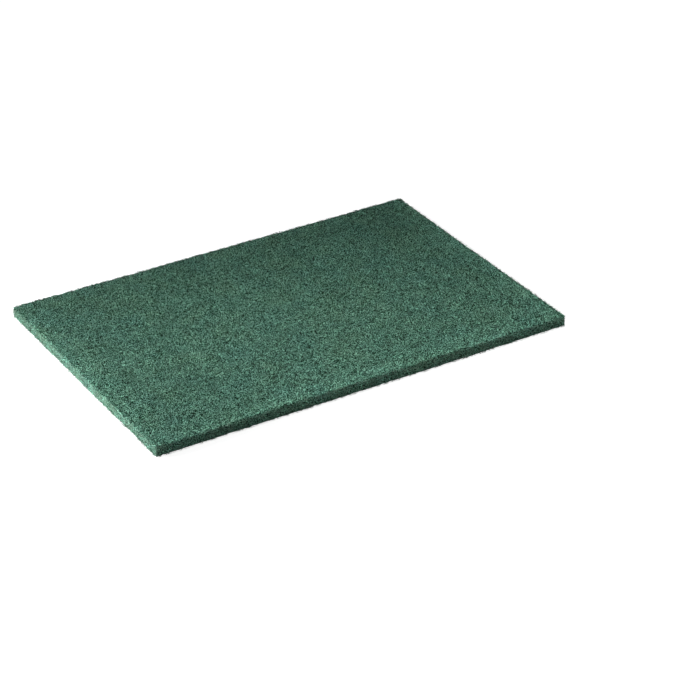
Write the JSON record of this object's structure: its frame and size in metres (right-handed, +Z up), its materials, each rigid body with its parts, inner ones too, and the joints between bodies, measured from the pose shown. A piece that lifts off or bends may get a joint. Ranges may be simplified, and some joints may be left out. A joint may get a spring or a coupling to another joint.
{
  "type": "scouring pad",
  "caption": "Flat rectangular pad of green bonded non-woven fibre web with softly rolled cut edges, for scouring pots, pans and worktops by hand.",
  "frame": {"origin": "middle of the underside that the pad lies on", "axes": "+X along the pad's length, +Y across its width, +Z up through its thickness"},
  "size_m": [0.2286, 0.1524, 0.0064],
  "materials": {
    "fibre_web": "matt open web of resin-bonded green fibres with fine mineral grit"
  },
  "bodies": {
    "root": {"scouring_pad": "fibre_web"}
  },
  "joints": []
}
